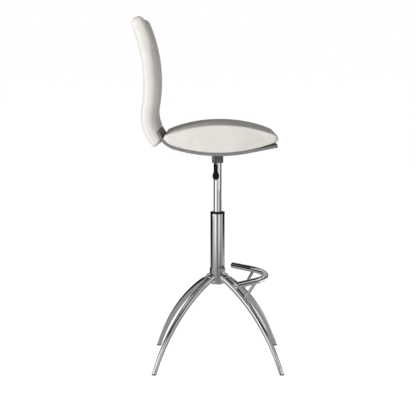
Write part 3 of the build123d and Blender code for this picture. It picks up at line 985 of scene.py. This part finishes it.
@dataclass
class BackPad(Upholstery):
    """Waved back pad: one bolster of even thickness, let over the pan's lip at its foot."""

    name: str = "back_pad_cover"
    node: str = "back_cushion"
    voxel: float = 0.0045
    swell: float = 0.004
    fill: float = 0.85
    low_centre: Flat = (-0.0999, 0.8733)
    low_bend: float = 0.134
    high_bend: float = 0.5
    lean_foot: float = 46.0
    lean_lumbar: float = 100.0
    lean_head: float = 64.0
    thick: float = 0.048
    foot_round: float = 0.012
    head_round: float = 0.021
    side_round: float = 0.020
    round_limit: float = 0.98
    end_turns: tuple[int, ...] = (8, 25, 45, 65, 85)
    inset: float = 0.0025
    seam_inset: float = 0.016
    stitch_inset: float = 0.021
    corner_steps: int = 8
    side_steps: int = 20
    body_steps: int = 60
    line_steps: int = 80
    lip_centre: Flat = LIP_CENTRE
    lip_back: float = 0.0949
    lip_lean: float = 68.4
    lip_half: float = 0.1864
    half_width: float = field(init=False)

    def __post_init__(self) -> None:
        """Take the pad's width from the frame."""
        self.half_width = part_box(self.node)[1].y

    def runs(self) -> Flat:
        """Lengths of the mid-line's lower and upper bend."""
        low_run = self.low_bend * math.radians(self.lean_lumbar - self.lean_foot)
        return low_run, self.high_bend * math.radians(self.lean_lumbar - self.lean_head)

    def length(self) -> float:
        """Length of the mid-line."""
        return sum(self.runs())

    def spine(self, share: float) -> tuple[Vector, Vector]:
        """Mid-line of the pad in the side view.

        Args:
            share: 0 at the foot, 1 at the head.

        Returns:
            The point as (x, z), and the direction towards the front.
        """
        low_run, high_run = self.runs()
        run = share * (low_run + high_run)
        if run <= low_run:
            lean = math.radians(self.lean_foot) + run / self.low_bend
            out = Vector((math.sin(lean), math.cos(lean)))
            return Vector(self.low_centre) - out * self.low_bend, out
        bend = math.radians(self.lean_lumbar)
        out = Vector((math.sin(bend), math.cos(bend)))
        centre = Vector(self.low_centre) - out * (self.low_bend + self.high_bend)
        lean = bend - (run - low_run) / self.high_bend
        out = Vector((math.sin(lean), math.cos(lean)))
        return centre + out * self.high_bend, out

    def section(self, drawn_in: float) -> list[Flat]:
        """Outline across the pad.

        Args:
            drawn_in: how far it is drawn in all round.

        Returns:
            The outline's points, as (forward, across).
        """
        half_t = self.thick / 2 - self.inset - drawn_in
        half_w = self.half_width - self.inset - drawn_in
        corner = min(self.side_round, half_t * self.round_limit)
        return rounded_rectangle(half_t, half_w, corner, self.corner_steps, self.side_steps)

    def form(self) -> list[list[Point]]:
        """Set sections along the mid-line, drawn in where the two ends are round.

        Returns:
            The sections, from the foot to the head.
        """
        total = self.length()
        rounding = [1 - math.cos(math.radians(turn)) for turn in self.end_turns]
        foot = [self.foot_round * share for share in rounding]
        head = [total - self.head_round * share for share in reversed(rounding)]
        run = total - self.foot_round - self.head_round
        steps = range(self.body_steps + 1)
        body = [self.foot_round + run * step / self.body_steps for step in steps]
        rings: list[list[Point]] = []
        for reach in foot + body + head:
            if reach < total / 2:
                near, bend = reach, self.foot_round
            else:
                near, bend = total - reach, self.head_round
            margin = max(0.0, bend - near)
            drawn_in = bend - math.sqrt(bend**2 - margin**2)
            middle, out = self.spine(reach / total)
            ring = []
            for forward, across in self.section(drawn_in):
                point = Vector((middle.x + out.x * forward, across, middle.y + out.y * forward))
                ring.append(tuple(self.seated(point)))
            rings.append(ring)
        return rings

    def rear_line(self, away: float, back: float) -> list[Point]:
        """Closed line round the rear face.

        Args:
            away: how far it runs inside the face's edge.
            back: how far it lies from the mid-line, where less than 0 is behind it.

        Returns:
            The line's points.
        """
        total = self.length()
        half_w = self.half_width - self.inset - away
        steps = range(self.line_steps + 1)
        rise = [away + (total - 2 * away) * step / self.line_steps for step in steps]
        line: list[Point] = []
        for side, reaches in ((1, rise), (-1, list(reversed(rise)))):
            for reach in reaches:
                middle, out = self.spine(reach / total)
                line.append((middle.x + out.x * back, side * half_w, middle.y + out.y * back))
        return line

    def seams(self) -> list[list[Point]]:
        """One closing seam, round the rear face a little inside its edge."""
        return [self.rear_line(self.seam_inset, -self.thick / 2 + self.inset)]

    def stitch_lines(self) -> list[list[Point]]:
        """A line just inside the closing seam."""
        return [self.rear_line(self.stitch_inset, -self.thick / 2)]

    def seated(self, point: Vector) -> Vector:
        """Push a point behind the pan's lip.

        Args:
            point: a point of the cover.

        Returns:
            Where the point may lie.
        """
        offset, lean = about(point, self.lip_centre)
        behind = abs(point.y) < self.lip_half and 0.0 < lean < self.lip_lean
        if behind and offset.length < self.lip_back:
            return brought_to(self.lip_back, point, self.lip_centre)
        return point


@dataclass
class Stitching:
    """Rows of thread laid along a cushion's stitch lines."""

    pitch: float = 0.0062
    length: float = 0.0046
    thickness: float = 0.0009
    segments: int = 6
    rings: int = 5
    guide_step: float = 0.004

    def tree(self, thread: bpy.types.Material) -> bpy.types.NodeTree:
        """Node tree that sets a stitch at even steps along a line.

        Args:
            thread: the stitches' material.

        Returns:
            The tree, with inputs Pitch, Length and Thickness.
        """
        sizes = ("Pitch", "Length", "Thickness")
        graph, source, sink = new_group(
            "stitch row",
            {"Geometry": "NodeSocketGeometry", **{label: "NodeSocketFloat" for label in sizes}},
            {"Geometry": "NodeSocketGeometry"},
            "GeometryNodeTree",
        )
        even = graph.add(
            "GeometryNodeResampleCurve",
            {"Curve": source.outputs["Geometry"], "Length": source.outputs["Pitch"]},
            mode="LENGTH",
        )
        bead = graph.add(
            "GeometryNodeMeshUVSphere",
            {"Segments": self.segments, "Rings": self.rings, "Radius": 0.5},
        )
        width, length = source.outputs["Thickness"], source.outputs["Length"]
        size = graph.add("ShaderNodeCombineXYZ", {"X": width, "Y": width, "Z": length})
        shaped = graph.add(
            "GeometryNodeTransform", {"Geometry": bead.outputs["Mesh"], "Scale": size.outputs[0]}
        )
        along = graph.add("GeometryNodeInputTangent")
        turned = graph.add(
            "FunctionNodeAlignRotationToVector", {"Vector": along.outputs[0]}, axis="Z"
        )
        row = graph.add(
            "GeometryNodeInstanceOnPoints",
            {
                "Points": even.outputs["Curve"],
                "Instance": shaped.outputs["Geometry"],
                "Rotation": turned.outputs["Rotation"],
            },
        )
        solid = graph.add("GeometryNodeRealizeInstances", {"Geometry": row.outputs["Instances"]})
        dressed = graph.add(
            "GeometryNodeSetMaterial", {"Geometry": solid.outputs["Geometry"], "Material": thread}
        )
        graph.feed(sink.inputs["Geometry"], dressed.outputs["Geometry"])
        return graph.tree

    def lay(
        self,
        name: str,
        cushion: bpy.types.Object,
        lines: list[list[Point]],
        thread: bpy.types.Material,
    ) -> bpy.types.Object:
        """Lay the stitches on a cushion.

        Args:
            name: name of the new piece.
            cushion: the finished cushion that they lie on.
            lines: closed lines near its surface.
            thread: the stitches' material.

        Returns:
            The finished row of stitches.
        """
        skin = BVHTree.FromPolygons(
            [vert.co.copy() for vert in cushion.data.vertices],
            [tuple(face.vertices) for face in cushion.data.polygons],
        )
        curve = bpy.data.curves.new(name, "CURVE")
        curve.dimensions = "3D"
        for line in lines:
            points = [skin.find_nearest(point)[0] for point in close_points(line, self.guide_step)]
            spline = curve.splines.new("POLY")
            spline.points.add(len(points) - 1)
            for entry, point in zip(spline.points, points):
                entry.co = (*point, 1.0)
            spline.use_cyclic_u = True
        guide = placed(f"{name}_guide", curve)
        tree = self.tree(thread)
        rows = guide.modifiers.new("stitches", "NODES")
        rows.node_group = tree
        sizes = {"Pitch": self.pitch, "Length": self.length, "Thickness": self.thickness}
        for item in tree.interface.items_tree:
            if item.in_out == "INPUT" and item.name in sizes:
                rows[item.identifier] = sizes[item.name]
        bpy.context.view_layer.update()
        mesh = finished_mesh(guide)
        bpy.data.objects.remove(guide)
        mesh.name = name
        mesh.shade_smooth()
        stitches = placed(name, mesh)
        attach(stitches, Body.SEAT.value)
        return stitches


@dataclass(frozen=True)
class Card:
    """A tall curved card that the metal mirrors, from one bearing to another round the stool.

    Bearings are in degrees: 0 is towards the camera and 90 is to its right.
    """

    name: str
    start: float
    end: float
    glow: float
    foot: float = 0.3
    bottom: float = 0.0
    top: float = 1.4


@dataclass(frozen=True)
class Sheet:
    """A level sheet that the metal mirrors, over the stool or on the floor round it."""

    name: str
    left: float
    right: float
    near: float
    far: float
    height: float
    glow: float


@dataclass
class Studio:
    """Floor, cards, lamps, world and camera."""

    eye: Point = (-0.0335, -4.2, 1.06)
    pitch: float = 7.0
    lens: float = 104.2
    sensor: float = 36.0
    floor_reach: float = 60.0
    card_reach: float = 1.5
    card_fade: float = 0.3
    card_steps: int = 12
    floor_card_reach: float = 3.0
    floor_card_height: float = 0.0004
    floor_card_glow: float = 0.31
    floor_card_steps: int = 48
    floor_tone: float = 0.8
    floor_seen_tone: float = 0.35
    floor_lift: float = 0.93
    key_place: Point = (-2.7, -2.7, 1.25)
    aim: Point = (0.0, 0.0, 0.75)
    key_size: float = 1.6
    key_power: float = 108.0
    fill_place: Point = (3.2, -1.6, 1.3)
    fill_size: float = 2.0
    fill_power: float = 26.0
    horizon: float = 0.5
    zenith: float = 0.14
    dome_top: float = 0.8
    cards: tuple[Card, ...] = (
        Card("left_pale_card", -86.0, -48.0, 0.53, foot=0.33, top=0.33),
        Card("left_bright_card", -86.0, -48.0, 1.1, bottom=0.33, top=0.85),
        Card("left_white_card", -48.0, -27.0, 1.1, foot=0.25, top=0.85),
        Card("left_high_card", -76.0, -27.0, 1.0, bottom=0.85, top=1.12),
        Card("left_top_card", -76.0, -27.0, 0.5, bottom=1.12),
        Card("left_corner_card", -86.0, -76.0, 0.03, bottom=0.85),
        Card("left_soft_card", -27.0, -11.0, 0.5, top=1.1),
        Card("camera_dark_card", -11.0, 3.0, 0.11, foot=0.16, top=0.45),
        Card("camera_soft_card", -11.0, 3.0, 0.36, bottom=0.45, top=1.1),
        Card("camera_top_card", -27.0, 5.0, 0.03, bottom=1.1),
        Card("right_soft_card", 3.0, 19.0, 0.46, foot=0.2, top=0.6),
        Card("right_white_card", 19.0, 36.0, 0.9, foot=0.18, top=0.6),
        Card("right_grey_card", 36.0, 68.0, 0.33, foot=0.1, top=0.45),
        Card("right_pale_card", 36.0, 56.0, 0.6, bottom=0.45, top=0.6),
        Card("right_low_card", 68.0, 90.0, 0.46, foot=0.32, top=0.45),
        Card("right_strip_card", 50.0, 78.0, 1.0, bottom=0.45, top=0.85),
        Card("right_high_card", 3.0, 50.0, 0.4, bottom=0.6, top=1.1),
        Card("right_top_card", 5.0, 78.0, 0.3, bottom=1.1),
        Card("right_corner_card", 50.0, 78.0, 0.5, bottom=0.85, top=1.1),
        Card("right_side_card", 78.0, 100.0, 0.06, bottom=0.45, top=1.2),
        Card("right_edge_card", 90.0, 136.0, 0.01, foot=0.6, top=0.45),
        Card("right_dark_card", 100.0, 140.0, 0.01, bottom=0.45, top=0.66),
        Card("right_back_card", 100.0, 128.0, 0.95, bottom=0.66, top=1.2),
        Card("far_foot_card", 136.0, 222.0, 0.04, foot=0.2, top=0.4),
        Card("far_card", 140.0, 196.0, 0.4, bottom=0.4, top=0.9),
        Card("far_high_card", 128.0, 222.0, 0.2, bottom=0.9, top=1.2),
        Card("left_edge_card", 222.0, 274.0, 0.01, foot=0.08, top=0.4),
        Card("left_dark_card", 196.0, 274.0, 0.01, bottom=0.4, top=0.66),
        Card("left_back_card", 222.0, 246.0, 0.9, bottom=0.66, top=1.0),
        Card("left_side_card", 246.0, 274.0, 0.05, bottom=0.66, top=1.2),
        Card("left_shade_card", 222.0, 246.0, 0.3, bottom=1.0, top=1.2),
        Card("back_top_card", 78.0, 274.0, 0.01, bottom=1.2),
    )
    sheets: tuple[Sheet, ...] = (
        Sheet("ceiling_sheet", -1.6, 1.6, -1.6, 1.6, 1.4, 0.02),
        Sheet("ceiling_band_sheet", -1.0, 1.0, -0.8, -0.3, 1.395, 0.32),
        Sheet("ceiling_spot_sheet", -0.85, -0.5, -0.3, 0.05, 1.395, 1.0),
        Sheet("floor_left_sheet", -0.75, -0.1, -0.55, -0.27, 0.0008, 1.1),
        Sheet("floor_right_sheet", 0.4, 1.5, 0.27, 1.2, 0.0008, 0.9),
    )

    def build(self) -> None:
        """Set the whole studio up."""
        self.world()
        self.floor()
        self.floor_card()
        for card in self.cards:
            self.card(card)
        for sheet in self.sheets:
            self.sheet(sheet)
        self.lamp("key", self.key_place, self.key_size, self.key_power)
        self.lamp("fill", self.fill_place, self.fill_size, self.fill_power)
        self.camera()
        bpy.context.scene.view_settings.view_transform = "Standard"

    def seen(self, graph: Graph) -> bpy.types.NodeSocket:
        """Find where the camera, a mirror or a clear piece looks at the background.

        Args:
            graph: the background's graph.

        Returns:
            A mask that is 1 there.
        """
        path = graph.add("ShaderNodeLightPath").outputs
        mirrored = graph.math("MAXIMUM", path["Is Glossy Ray"], path["Is Transmission Ray"])
        return graph.math("MAXIMUM", path["Is Camera Ray"], mirrored)

    def world(self) -> None:
        """White where it is seen, and a soft grey dome as light."""
        world = bpy.data.worlds.new("studio")
        world.use_nodes = True
        bpy.context.scene.world = world
        graph = Graph(world.node_tree)
        sky = world.node_tree.nodes["Background"]
        place = graph.add("ShaderNodeTexCoord").outputs["Generated"]
        axes = graph.add("ShaderNodeSeparateXYZ", {"Vector": place})
        rise = graph.spread(axes.outputs["Z"], 0.0, self.dome_top)
        dome = graph.blend(rise, grey(self.horizon), grey(self.zenith))
        graph.feed(sky.inputs["Color"], graph.blend(self.seen(graph), dome, grey(1.0)))

    def floor(self) -> None:
        """A pale floor that is white where it is seen and keeps a faint shadow."""
        mesh = bpy.data.meshes.new("floor")
        reach = self.floor_reach
        corners = [(-reach, -reach, 0), (reach, -reach, 0), (reach, reach, 0), (-reach, reach, 0)]
        mesh.from_pydata(corners, [], [(0, 1, 2, 3)])
        floor = placed("floor", mesh)
        material, graph, surface = bare_material("floor_paper")
        plain = graph.add("ShaderNodeBsdfDiffuse", {"Color": grey(self.floor_tone)})
        shaded = graph.add("ShaderNodeBsdfDiffuse", {"Color": grey(self.floor_seen_tone)})
        lifted = graph.add("ShaderNodeEmission", {"Strength": self.floor_lift})
        white = graph.add("ShaderNodeAddShader")
        graph.feed(white.inputs[0], shaded.outputs[0])
        graph.feed(white.inputs[1], lifted.outputs[0])
        chosen = graph.add("ShaderNodeMixShader")
        graph.feed(chosen.inputs[0], self.seen(graph))
        graph.feed(chosen.inputs[1], plain.outputs[0])
        graph.feed(chosen.inputs[2], white.outputs[0])
        graph.feed(surface, chosen.outputs[0])
        mesh.materials.append(material)

    def card(self, card: Card) -> None:
        """Stand one curved card by the stool, seen only in reflections.

        Args:
            card: its place, size and brightness.
        """
        mesh = bpy.data.meshes.new(card.name)
        points: list[Point] = []
        for step in range(self.card_steps + 1):
            bearing = math.radians(card.start + (card.end - card.start) * step / self.card_steps)
            x = self.card_reach * math.sin(bearing)
            y = -self.card_reach * math.cos(bearing)
            points += [(x, y, card.bottom), (x, y, card.top)]
        firsts = range(0, 2 * self.card_steps, 2)
        faces = [(first, first + 2, first + 3, first + 1) for first in firsts]
        mesh.from_pydata(points, [], faces)
        self.mirrored_only(mesh, card.foot, card.glow)

    def sheet(self, sheet: Sheet) -> None:
        """Hang or lay one level sheet, seen only in reflections.

        Args:
            sheet: its place, size and brightness.
        """
        mesh = bpy.data.meshes.new(sheet.name)
        corners = [
            (sheet.left, sheet.near),
            (sheet.left, sheet.far),
            (sheet.right, sheet.far),
            (sheet.right, sheet.near),
        ]
        mesh.from_pydata([(x, y, sheet.height) for x, y in corners], [], [(0, 1, 2, 3)])
        self.mirrored_only(mesh, sheet.glow, sheet.glow)

    def floor_card(self) -> None:
        """Lay a grey round card under the stool, seen only in reflections."""
        mesh = bpy.data.meshes.new("floor_card")
        reach, height = self.floor_card_reach, self.floor_card_height
        turns = [math.tau * step / self.floor_card_steps for step in range(self.floor_card_steps)]
        points = [(reach * math.cos(turn), reach * math.sin(turn), height) for turn in turns]
        mesh.from_pydata(points, [], [tuple(range(self.floor_card_steps))])
        self.mirrored_only(mesh, self.floor_card_glow, self.floor_card_glow)

    def mirrored_only(self, mesh: bpy.types.Mesh, foot: float, level: float) -> None:
        """Make a card that shows in reflections and neither lights, shades nor hides anything.

        Args:
            mesh: the card's shape.
            foot: its brightness at the floor.
            level: its brightness higher up.
        """
        panel = placed(mesh.name, mesh)
        material, graph, surface = bare_material(mesh.name)
        place = graph.add("ShaderNodeTexCoord").outputs["Object"]
        height = graph.add("ShaderNodeSeparateXYZ", {"Vector": place}).outputs["Z"]
        fade = graph.spread(height, 0.0, self.card_fade, foot, level)
        glow = graph.add("ShaderNodeEmission", {"Strength": fade})
        graph.feed(surface, glow.outputs[0])
        material.cycles.emission_sampling = "NONE"
        mesh.materials.append(material)
        panel.visible_camera = False
        panel.visible_diffuse = False
        panel.visible_shadow = False

    def lamp(self, name: str, place: Point, size: float, power: float) -> None:
        """Hang a soft box.

        Args:
            name: its name.
            place: where it hangs.
            size: length of its sides.
            power: its power.
        """
        light = bpy.data.lights.new(name, "AREA")
        light.size = size
        light.energy = power
        holder = placed(name, light)
        holder.location = place
        aim = Vector(self.aim) - Vector(place)
        holder.rotation_euler = aim.to_track_quat("-Z", "Y").to_euler()
        holder.visible_glossy = False

    def camera(self) -> None:
        """The camera at the photograph's viewing angle."""
        lens = bpy.data.cameras.new("camera")
        lens.lens = self.lens
        lens.sensor_width = self.sensor
        holder = placed("camera", lens)
        holder.location = self.eye
        holder.rotation_euler = (math.radians(90.0 - self.pitch), 0.0, 0.0)
        bpy.context.scene.camera = holder


def dress_nodes(frame: dict[str, Any], materials: dict[str, bpy.types.Material]) -> None:
    """Give each solid of the frame the finish of its slot.

    Args:
        frame: the loaded frame.
        materials: finished materials by slot name.
    """
    for entry in frame["record"]["subparts"]:
        solid = frame["nodes"][entry["node"]]
        solid.data.materials.clear()
        solid.data.materials.append(materials[entry["material_slot"]])
        LOG.info("%s takes %s", entry["node"], entry["material_slot"])


def main() -> None:
    """Build the stool's looks, piece by piece."""
    logging.basicConfig(level=logging.INFO, format="%(name)s: %(message)s")
    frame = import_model()
    effects = Effects(grain_group(), handling_group())
    materials = {finish.slot.value: finish.material(effects) for finish in FINISHES}
    dress_nodes(frame, materials)
    cover = materials[Slot.COVER.value]
    stitching = Stitching()
    for cushion in (SeatCushion(), BackPad()):
        piece = cushion.build(cover)
        LOG.info("%s has %d points", piece.name, len(piece.data.vertices))
        stitching.lay(f"{cushion.node}_stitches", piece, cushion.stitch_lines(), cover)
    Studio().build()


if __name__ == "__main__":
    main()
